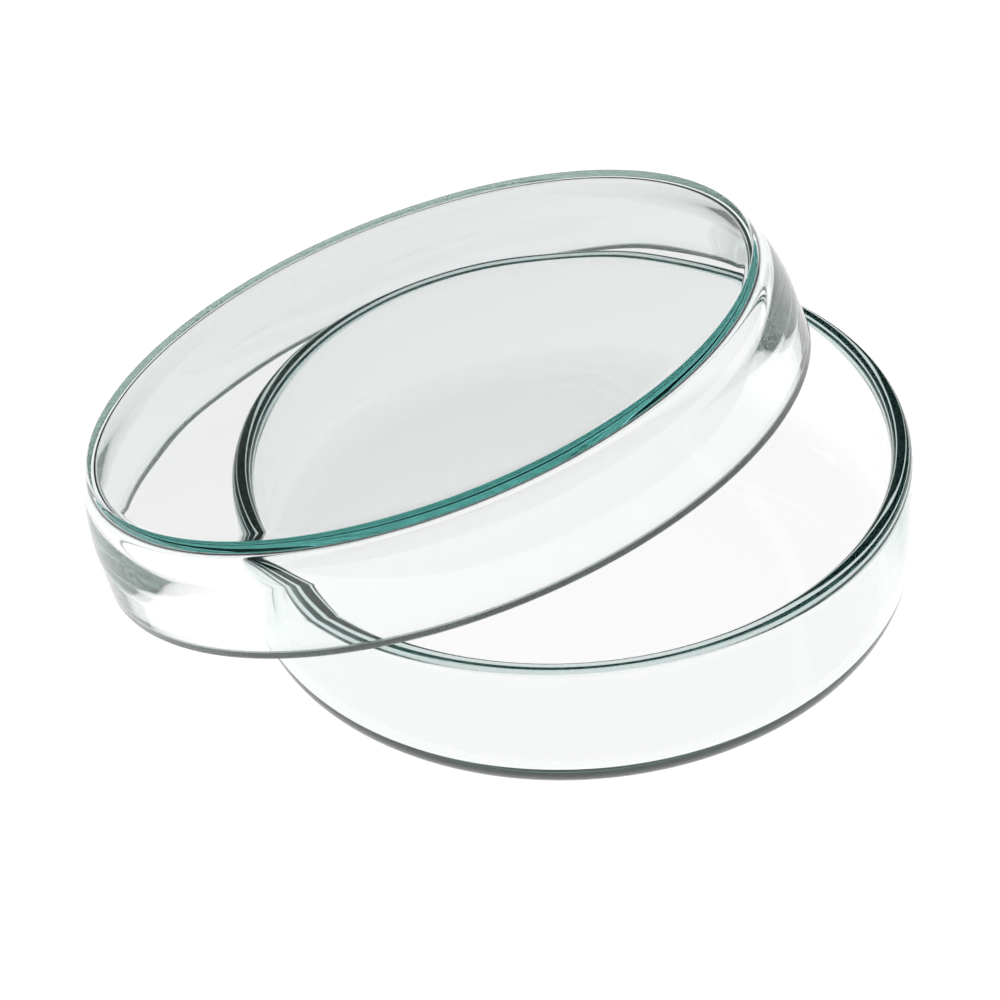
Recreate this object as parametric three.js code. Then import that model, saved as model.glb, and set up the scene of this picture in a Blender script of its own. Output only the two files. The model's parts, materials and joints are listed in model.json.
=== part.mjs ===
// Round glass petri dish with its wider lid leaning open on the dish's rim.
// Millimetres, +Z up. The origin is the centre of the dish's flat base, on the table.
import * as THREE from "three";

// Dish: a shallow cup with a fire-polished rim, rounded but a little square. The wall is
// slightly thicker at its foot.
const DISH_RADIUS = 26.6;
const DISH_HEIGHT = 12.2;
const DISH_WALL = 1.7;
const DISH_WALL_TAPER = 0.1;
const DISH_FLOOR = 1.6;
const DISH_FOOT_REACH = 3.2;
const DISH_FOOT_FALL = 3.4;
const DISH_FOOT_POWER = 2.35;
const DISH_RIM_FALL = 1.4;
const DISH_RIM_POWER = 2.5;
const DISH_CORNER_REACH = 0.8;
const DISH_CORNER_FALL = 1.9;

// Lid: a shallower, wider cap with a flat end and a ground rim. Its skirt draws in towards
// the end in a long, lean shoulder.
const LID_RADIUS = 30;
const LID_HEIGHT = 9.2;
const LID_FLARE = 0.15;
const LID_WALL = 1.5;
const LID_PLATE = 1.4;
const LID_SHOULDER_REACH = 1.95;
const LID_SHOULDER_FALL = 6.1;
const LID_SHOULDER_POWER = 1.5;
const LID_CORNER_REACH = 1.25;
const LID_CORNER_FALL = 2.4;
const LID_EDGE_BEVEL = 0.12;

// Where the open lid rests: one edge on the table, its ground rim on the dish's rim.
const LID_TILT = THREE.MathUtils.degToRad(17.6);
const LID_RAISED_SIDE = THREE.MathUtils.degToRad(-35.5);
const LID_SHIFT = 11.45;
const TABLE_GAP = 0.05;

const TURN_SEGMENTS = 72;
const FOOT_SEGMENTS = 6;
const RIM_SEGMENTS = 8;
const CORNER_SEGMENTS = 4;
const SHOULDER_SEGMENTS = 8;
const QUARTER = Math.PI / 2;

// A cosine or sine raised so that an arc becomes leaner (power under 2) or squarer (over 2).
function shaped(value, power) {
  return Math.sign(value) * Math.abs(value) ** (2 / power);
}

// Points of an arc in the (radius, height) half-plane, ends included. Power 2 is an ellipse.
function arc(radius, height, reach, fall, from, to, segments, power = 2) {
  const points = [];
  for (let i = 0; i <= segments; i += 1) {
    const angle = from + ((to - from) * i) / segments;
    const across = reach * shaped(Math.cos(angle), power);
    const up = fall * shaped(Math.sin(angle), power);
    points.push(new THREE.Vector2(radius + across, height + up));
  }
  return points;
}

// Turns a closed (radius, height) profile about +Z.
function turned(profile) {
  const geometry = new THREE.LatheGeometry(profile, TURN_SEGMENTS);
  geometry.rotateX(QUARTER);
  return geometry;
}

function glass(color, roughness) {
  return new THREE.MeshStandardMaterial({
    color,
    roughness,
    metalness: 0,
    transparent: true,
    opacity: 0.35,
  });
}

function makeDish() {
  const rimReach = DISH_WALL / 2;
  const foot = arc(
    DISH_RADIUS - DISH_FOOT_REACH,
    DISH_FOOT_FALL,
    DISH_FOOT_REACH,
    DISH_FOOT_FALL,
    -QUARTER,
    0,
    FOOT_SEGMENTS,
    DISH_FOOT_POWER,
  );
  const rim = arc(
    DISH_RADIUS - rimReach,
    DISH_HEIGHT - DISH_RIM_FALL,
    rimReach,
    DISH_RIM_FALL,
    0,
    Math.PI,
    RIM_SEGMENTS,
    DISH_RIM_POWER,
  );
  const corner = arc(
    DISH_RADIUS - DISH_WALL - DISH_WALL_TAPER - DISH_CORNER_REACH,
    DISH_FLOOR + DISH_CORNER_FALL,
    DISH_CORNER_REACH,
    DISH_CORNER_FALL,
    0,
    -QUARTER,
    CORNER_SEGMENTS,
  );
  const base = new THREE.Vector2(0, 0);
  const floor = new THREE.Vector2(0, DISH_FLOOR);
  const dish = new THREE.Mesh(
    turned([base, ...foot, ...rim, ...corner, floor]),
    glass(0xdfeeea, 0.03),
  );
  dish.name = "dish";
  return dish;
}

function makeLid() {
  const shoulder = arc(
    LID_RADIUS - LID_FLARE - LID_SHOULDER_REACH,
    LID_HEIGHT - LID_SHOULDER_FALL,
    LID_SHOULDER_REACH,
    LID_SHOULDER_FALL,
    0,
    QUARTER,
    SHOULDER_SEGMENTS,
    LID_SHOULDER_POWER,
  );
  const corner = arc(
    LID_RADIUS - LID_FLARE - LID_WALL - LID_CORNER_REACH,
    LID_HEIGHT - LID_PLATE - LID_CORNER_FALL,
    LID_CORNER_REACH,
    LID_CORNER_FALL,
    QUARTER,
    0,
    CORNER_SEGMENTS,
  );
  const rim = [
    new THREE.Vector2(LID_RADIUS - LID_WALL, LID_EDGE_BEVEL),
    new THREE.Vector2(LID_RADIUS - LID_WALL + LID_EDGE_BEVEL, 0),
    new THREE.Vector2(LID_RADIUS - LID_EDGE_BEVEL, 0),
    new THREE.Vector2(LID_RADIUS, LID_EDGE_BEVEL),
  ];
  const underside = new THREE.Vector2(0, LID_HEIGHT - LID_PLATE);
  const top = new THREE.Vector2(0, LID_HEIGHT);
  const lid = new THREE.Mesh(
    turned([underside, ...corner, ...rim, ...shoulder, top]),
    glass(0xdfeeea, 0.03),
  );
  lid.name = "lid";
  lid.rotation.y = -LID_TILT;
  return lid;
}

// Carries the tilted lid from its own axis to where it rests against the dish.
function placeLid(lid) {
  const place = new THREE.Group();
  place.rotation.z = LID_RAISED_SIDE;
  place.position.set(
    -LID_SHIFT * Math.cos(LID_RAISED_SIDE),
    -LID_SHIFT * Math.sin(LID_RAISED_SIDE),
    LID_RADIUS * Math.sin(LID_TILT) + TABLE_GAP,
  );
  place.add(lid);
  return place;
}

const petriDish = new THREE.Group();
petriDish.add(makeDish());
petriDish.add(placeLid(makeLid()));

export default petriDish;
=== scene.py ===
"""Looks of the glass petri dish: clear dish, clear lid with a ground rim, white table, soft studio light.

Metres, +Z up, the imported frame's own axes. The two glass pieces are turned again, finer, at the places
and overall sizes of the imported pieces, which they replace.
"""
import json
import math

import bpy
from mathutils import Matrix, Vector


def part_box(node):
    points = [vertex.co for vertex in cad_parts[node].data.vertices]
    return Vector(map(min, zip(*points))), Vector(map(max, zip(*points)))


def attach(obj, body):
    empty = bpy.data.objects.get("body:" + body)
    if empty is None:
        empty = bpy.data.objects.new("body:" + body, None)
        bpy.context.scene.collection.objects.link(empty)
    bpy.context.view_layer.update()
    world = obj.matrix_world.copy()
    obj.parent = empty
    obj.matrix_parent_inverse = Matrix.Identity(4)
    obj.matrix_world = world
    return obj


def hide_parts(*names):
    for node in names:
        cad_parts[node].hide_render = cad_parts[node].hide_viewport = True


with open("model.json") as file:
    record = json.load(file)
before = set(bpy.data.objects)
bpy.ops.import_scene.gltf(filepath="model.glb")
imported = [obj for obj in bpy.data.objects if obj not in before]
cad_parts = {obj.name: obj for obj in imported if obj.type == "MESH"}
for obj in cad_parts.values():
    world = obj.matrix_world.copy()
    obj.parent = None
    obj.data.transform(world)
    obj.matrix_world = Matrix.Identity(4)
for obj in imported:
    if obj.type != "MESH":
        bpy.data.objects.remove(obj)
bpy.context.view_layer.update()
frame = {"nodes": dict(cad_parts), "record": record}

MM = 0.001
QUARTER = math.pi / 2

# How finely the profiles are drawn and turned.
TURN_STEPS = 288
FOOT_STEPS = 32
LIP_STEPS = 48
DISH_CORNER_STEPS = 24
SHOULDER_STEPS = 60
EDGE_STEPS = 5
WALL_STEPS = 12
FLOOR_STEPS = 10
PLATE_STEPS = 28
END_FACE_STEPS = 4

# Dish, apart from its radius and height, which the frame gives.
DISH_WALL = 1.7 * MM
DISH_WALL_TAPER = 0.1 * MM
DISH_FLOOR = 1.6 * MM
FOOT_REACH = 3.2 * MM
FOOT_FALL = 3.4 * MM
FOOT_POWER = 2.35
RIM_FALL = 1.4 * MM
RIM_POWER = 2.5
DISH_CORNER_REACH = 0.8 * MM
DISH_CORNER_FALL = 1.9 * MM

# Lid, apart from its radius, height, place and tilt.
LID_WALL = 1.45 * MM
LID_PLATE = 1.4 * MM
LID_FLARE = 0.15 * MM
SHOULDER_REACH = 1.95 * MM
SHOULDER_FALL = 6.1 * MM
SHOULDER_POWER = 1.5
CORNER_START = 27.2 * MM
CORNER_END = 5.4 * MM
CORNER_PULL_OUT = 0.6
CORNER_PULL_UP = 0.52
GROUND_EDGE = 0.12 * MM

# How far pressed glass wanders from a true circle, and its plates from true flats.
WAVINESS = 0.012 * MM
SWELL = 0.004 * MM
DISH_PHASE = 0.4
LID_PHASE = 1.7
STEADY_MIDDLE = 10 * MM

# Camera: the photograph's place, tilt and lens.
CAMERA_PLACE = Vector((-5.98, -199.26, 165.58)) * MM
CAMERA_PITCH = 0.670
CAMERA_ROLL = -0.093
SENSOR_WIDTH = 36
LENS = 115.2
CLIP_START = 0.005

# Glass
GLASS_INDEX = 1.52
GLASS_DENSITY = 40
DISH_TINT = (0.14, 0.42, 0.38, 1)
LID_TINT = (0.4, 0.825, 0.81, 1)
RIPPLE_SCALE = 70
RIPPLE_STRENGTH = 0.01
RIPPLE_DEPTH = 0.05 * MM

# Ground rim: its colour, and the range of roughness and clearness over its fine flecks.
GROUND_COLOUR = (0.6, 0.73, 0.66, 1)
GROUND_ROUGHNESS = (0.4, 0.8)
GROUND_CLEARNESS = (0.5, 0.85)
FLECK_SCALE = 5000
FLECK_RANGE = (0.42, 0.6)

# Light: the lit white table, and a soft round glow high behind the dish.
TABLE_HALF = 1.5
TABLE_DROP = 0.2 * MM
TABLE_BASE = (0.12, 0.12, 0.12, 1)
TABLE_COLOUR = (1.025, 1.0, 1.0, 1)
TABLE_GLOW = 1.1
SKY_MIDDLE = Vector((-0.15, 0.93, 0.33))
SKY_REACH = math.radians(25)
SKY_GLOW = 0.08
ROOM_GLOW = 0.012

# Light that is guided inside the lid's plate needs many bounces to come out at its edge.
GLASS_BOUNCES = 128
GLOSSY_BOUNCES = 64


def arc(radius, height, reach, fall, start, end, steps, power=2):
    """Points of an arc in the (radius, height) half-plane, both ends included.

    Power 2 gives an ellipse, less a leaner corner and more a squarer one.
    """
    points = []
    for i in range(steps + 1):
        angle = start + (end - start) * i / steps
        across = math.copysign(abs(math.cos(angle)) ** (2 / power), math.cos(angle))
        up = math.copysign(abs(math.sin(angle)) ** (2 / power), math.sin(angle))
        points.append((radius + reach * across, height + fall * up))
    return points


def curve(start, first_pull, last_pull, end, steps):
    """Points of a cubic curve, both ends included."""
    points = []
    for i in range(steps + 1):
        t = i / steps
        weights = ((1 - t) ** 3, 3 * t * (1 - t) ** 2, 3 * t * t * (1 - t), t**3)
        corners = (start, first_pull, last_pull, end)
        points.append(tuple(sum(w * c[axis] for w, c in zip(weights, corners)) for axis in (0, 1)))
    return points


def line(start, end, steps):
    """Points from start towards end, without the ends."""
    return [
        (
            start[0] + (end[0] - start[0]) * i / steps,
            start[1] + (end[1] - start[1]) * i / steps,
        )
        for i in range(1, steps)
    ]


def beside(end, other):
    """The point a fiftieth of the way from end to other, which keeps the shading of end to itself."""
    return tuple(a + 0.02 * (b - a) for a, b in zip(end, other))


def dish_profile(radius, height):
    foot = arc(radius - FOOT_REACH, FOOT_FALL, FOOT_REACH, FOOT_FALL, -QUARTER, 0, FOOT_STEPS, FOOT_POWER)
    rim = DISH_WALL / 2
    lip = arc(radius - rim, height - RIM_FALL, rim, RIM_FALL, 0, math.pi, LIP_STEPS, RIM_POWER)
    corner = arc(
        radius - DISH_WALL - DISH_WALL_TAPER - DISH_CORNER_REACH,
        DISH_FLOOR + DISH_CORNER_FALL,
        DISH_CORNER_REACH,
        DISH_CORNER_FALL,
        0,
        -QUARTER,
        DISH_CORNER_STEPS,
    )
    outside = line(foot[-1], lip[0], WALL_STEPS)
    inside = line(lip[-1], corner[0], WALL_STEPS)
    base = line((0, 0), foot[0], FLOOR_STEPS)
    floor = line(corner[-1], (0, DISH_FLOOR), FLOOR_STEPS)
    return [(0, 0), *base, *foot, *outside, *lip, *inside, *corner, *floor, (0, DISH_FLOOR)]


def lid_profile(radius, height):
    under = height - LID_PLATE
    inner = radius - LID_FLARE - LID_WALL
    corner = curve(
        (CORNER_START, under),
        (CORNER_START + CORNER_PULL_OUT * (inner - CORNER_START), under),
        (inner, CORNER_END + CORNER_PULL_UP * (under - CORNER_END)),
        (inner, CORNER_END),
        SHOULDER_STEPS,
    )
    shoulder = arc(
        radius - LID_FLARE - SHOULDER_REACH,
        height - SHOULDER_FALL,
        SHOULDER_REACH,
        SHOULDER_FALL,
        0,
        QUARTER,
        SHOULDER_STEPS,
        SHOULDER_POWER,
    )
    lip = radius - LID_WALL
    edge = arc(radius - GROUND_EDGE, GROUND_EDGE, GROUND_EDGE, GROUND_EDGE, -QUARTER, 0, EDGE_STEPS)
    inner_edge = arc(
        lip + GROUND_EDGE,
        GROUND_EDGE,
        GROUND_EDGE,
        GROUND_EDGE,
        math.pi,
        3 * QUARTER,
        EDGE_STEPS,
    )
    plate = line((0, under), corner[0], PLATE_STEPS)
    inside = [*line(corner[-1], inner_edge[0], WALL_STEPS), beside(inner_edge[0], corner[-1])]
    end_face = line(inner_edge[-1], edge[0], END_FACE_STEPS)
    outside = [beside(edge[-1], shoulder[0]), *line(edge[-1], shoulder[0], WALL_STEPS)]
    top = line(shoulder[-1], (0, height), PLATE_STEPS)
    return [
        (0, under), *plate, *corner, *inside, *inner_edge, *end_face, *edge, *outside, *shoulder, *top,
        (0, height),
    ]


def wander(angle, height, phase):
    """Small smooth wander of a wall's radius round and up the piece, as pressing leaves it."""
    around = math.sin(3 * angle + phase) + 0.6 * math.sin(5 * angle + 2.3 * phase)
    along = 0.5 * math.sin(7 * angle + height * 900 + phase)
    return WAVINESS * (around + along)


def swell(x, y, height, phase):
    """Small smooth rise and fall of a plate; the table side, below 1 mm, stays flat."""
    across = math.sin(x / (1.6 * MM) + phase) * math.sin(y / (2.3 * MM) + 2 * phase)
    along = math.sin((x + 2 * y) / (5.1 * MM) + height / (0.4 * MM))
    return SWELL * (across + along) * min(1, max(0, height / MM - 1))


def turned(name, profile, phase, place=Matrix.Identity(4)):
    """A closed mesh: the profile turned about +Z, then set in place, with poles at its two ends.

    The point attribute "ground" is 1 on the end face of an open edge at height 0, and 0 elsewhere.
    """
    vertices = []
    rings = []
    for radius, height in profile:
        start = len(vertices)
        if radius == 0:
            vertices.append((0, 0, height + swell(0, 0, height, phase)))
            rings.append([start])
            continue
        for step in range(TURN_STEPS):
            angle = 2 * math.pi * step / TURN_STEPS
            reach = radius + wander(angle, height, phase) * min(1, radius / STEADY_MIDDLE)
            x = reach * math.cos(angle)
            y = reach * math.sin(angle)
            vertices.append((x, y, height + swell(x, y, height, phase)))
        rings.append(range(start, start + TURN_STEPS))
    faces = []
    for below, above in zip(rings, rings[1:]):
        for step in range(TURN_STEPS):
            after = (step + 1) % TURN_STEPS
            if len(below) == 1:
                faces.append((below[0], above[after], above[step]))
            elif len(above) == 1:
                faces.append((below[step], below[after], above[0]))
            else:
                faces.append((below[step], below[after], above[after], above[step]))
    mesh = bpy.data.meshes.new(name)
    mesh.from_pydata(vertices, [], faces)
    mesh.update()
    mesh.shade_smooth()
    ground = mesh.attributes.new("ground", "FLOAT", "POINT")
    ground.data.foreach_set("value", [1.0 if z < 1.01 * GROUND_EDGE else 0.0 for _, _, z in vertices])
    mesh.transform(place)
    piece = bpy.data.objects.new(name, mesh)
    bpy.context.scene.collection.objects.link(piece)
    return piece


def glass(name, tint, ground_edge=False):
    """Clear glass, faintly uneven; with ground_edge, ground grey where the mesh's "ground" says so."""
    material = bpy.data.materials.new(name)
    material.use_nodes = True
    nodes = material.node_tree.nodes
    links = material.node_tree.links
    surface = nodes["Principled BSDF"]
    surface.inputs["Base Color"].default_value = (1, 1, 1, 1)
    surface.inputs["Roughness"].default_value = 0
    surface.inputs["IOR"].default_value = GLASS_INDEX
    surface.inputs["Transmission Weight"].default_value = 1

    place = nodes.new("ShaderNodeTexCoord")
    ripple = nodes.new("ShaderNodeTexNoise")
    ripple.inputs["Scale"].default_value = RIPPLE_SCALE
    ripple.inputs["Detail"].default_value = 1
    links.new(place.outputs["Object"], ripple.inputs["Vector"])
    bump = nodes.new("ShaderNodeBump")
    bump.inputs["Strength"].default_value = RIPPLE_STRENGTH
    bump.inputs["Distance"].default_value = RIPPLE_DEPTH
    links.new(ripple.outputs["Fac"], bump.inputs["Height"])
    links.new(bump.outputs["Normal"], surface.inputs["Normal"])

    if ground_edge:
        mask = nodes.new("ShaderNodeAttribute")
        mask.attribute_name = "ground"
        grain = nodes.new("ShaderNodeTexNoise")
        grain.inputs["Scale"].default_value = FLECK_SCALE
        grain.inputs["Detail"].default_value = 3
        links.new(place.outputs["Object"], grain.inputs["Vector"])
        for socket, clear, (low, high) in (
            ("Roughness", 0, GROUND_ROUGHNESS),
            ("Transmission Weight", 1, GROUND_CLEARNESS),
        ):
            flecks = nodes.new("ShaderNodeMapRange")
            flecks.inputs["From Min"].default_value = FLECK_RANGE[0]
            flecks.inputs["From Max"].default_value = FLECK_RANGE[1]
            flecks.inputs["To Min"].default_value = low
            flecks.inputs["To Max"].default_value = high
            links.new(grain.outputs["Fac"], flecks.inputs["Value"])
            where = nodes.new("ShaderNodeMix")
            where.inputs["A"].default_value = clear
            links.new(mask.outputs["Fac"], where.inputs["Factor"])
            links.new(flecks.outputs["Result"], where.inputs["B"])
            links.new(where.outputs["Result"], surface.inputs[socket])
        tinge = nodes.new("ShaderNodeMixRGB")
        tinge.inputs["Color1"].default_value = (1, 1, 1, 1)
        tinge.inputs["Color2"].default_value = GROUND_COLOUR
        links.new(mask.outputs["Fac"], tinge.inputs["Fac"])
        links.new(tinge.outputs["Color"], surface.inputs["Base Color"])

    absorption = nodes.new("ShaderNodeVolumeAbsorption")
    absorption.inputs["Color"].default_value = tint
    absorption.inputs["Density"].default_value = GLASS_DENSITY
    links.new(absorption.outputs["Volume"], nodes["Material Output"].inputs["Volume"])
    return material


def mount(name):
    return next(m for m in frame["record"]["mounts"] if m["name"] == name)


def add_dish():
    low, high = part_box("dish")
    radius = (high[0] - low[0]) / 2
    piece = turned("dish_glass", dish_profile(radius, high[2] - low[2]), DISH_PHASE)
    piece.data.materials.append(glass("dish_glass", DISH_TINT))
    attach(piece, "dish")
    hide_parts("dish")


def add_lid():
    top = Vector(mount("lid_top")["pos_m"])
    axis = Vector(mount("lid_top")["axis"]).normalized()
    reaches = []
    heights = []
    for vertex in frame["nodes"]["lid"].data.vertices:
        offset = vertex.co - top
        along = offset.dot(axis)
        heights.append(-along)
        reaches.append((offset - along * axis).length)
    height = max(heights)
    tilt = axis.to_track_quat("Z", "Y").to_matrix().to_4x4()
    place = Matrix.Translation(top - axis * height) @ tilt
    piece = turned("lid_glass", lid_profile(max(reaches), height), LID_PHASE, place)
    piece.data.materials.append(glass("lid_glass", LID_TINT, ground_edge=True))
    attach(piece, "lid")
    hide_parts("lid")


def add_table():
    mesh = bpy.data.meshes.new("table")
    sides = ((-1, -1), (1, -1), (1, 1), (-1, 1))
    corners = [(x * TABLE_HALF, y * TABLE_HALF, -TABLE_DROP) for x, y in sides]
    mesh.from_pydata(corners, [], [(0, 1, 2, 3)])
    table = bpy.data.objects.new("table", mesh)
    bpy.context.scene.collection.objects.link(table)
    material = bpy.data.materials.new("white_table")
    material.use_nodes = True
    surface = material.node_tree.nodes["Principled BSDF"]
    surface.inputs["Base Color"].default_value = TABLE_BASE
    surface.inputs["Roughness"].default_value = 1
    surface.inputs["Emission Color"].default_value = TABLE_COLOUR
    surface.inputs["Emission Strength"].default_value = TABLE_GLOW
    mesh.materials.append(material)


def add_sky():
    """A dark room with one soft round glow, brightest at SKY_MIDDLE and gone SKY_REACH away from it."""
    world = bpy.data.worlds.new("studio")
    world.use_nodes = True
    nodes = world.node_tree.nodes
    links = world.node_tree.links
    place = nodes.new("ShaderNodeTexCoord")
    towards = nodes.new("ShaderNodeVectorMath")
    towards.operation = "DOT_PRODUCT"
    towards.inputs[1].default_value = SKY_MIDDLE.normalized()
    links.new(place.outputs["Generated"], towards.inputs[0])
    away = nodes.new("ShaderNodeMath")
    away.operation = "ARCCOSINE"
    links.new(towards.outputs["Value"], away.inputs[0])
    glow = nodes.new("ShaderNodeMapRange")
    glow.interpolation_type = "SMOOTHSTEP"
    glow.inputs["From Min"].default_value = SKY_REACH
    glow.inputs["From Max"].default_value = 0
    glow.inputs["To Min"].default_value = ROOM_GLOW
    glow.inputs["To Max"].default_value = SKY_GLOW
    links.new(away.outputs["Value"], glow.inputs["Value"])
    links.new(glow.outputs["Result"], nodes["Background"].inputs["Strength"])
    nodes["Background"].inputs["Color"].default_value = (1, 1, 1, 1)
    bpy.context.scene.world = world


def add_camera():
    camera = bpy.data.cameras.new("camera")
    camera.sensor_width = SENSOR_WIDTH
    camera.lens = LENS
    camera.clip_start = CLIP_START
    holder = bpy.data.objects.new("camera", camera)
    bpy.context.scene.collection.objects.link(holder)
    pitch = Matrix.Rotation(QUARTER - CAMERA_PITCH, 4, "X")
    roll = Matrix.Rotation(CAMERA_ROLL, 4, "Z")
    holder.matrix_world = Matrix.Translation(CAMERA_PLACE) @ pitch @ roll
    bpy.context.scene.camera = holder


def set_look():
    scene = bpy.context.scene
    scene.view_settings.view_transform = "Standard"
    scene.cycles.max_bounces = GLASS_BOUNCES
    scene.cycles.transmission_bounces = GLASS_BOUNCES
    scene.cycles.glossy_bounces = GLOSSY_BOUNCES
    scene.cycles.caustics_reflective = False


add_camera()
add_dish()
add_lid()
add_table()
add_sky()
set_look()
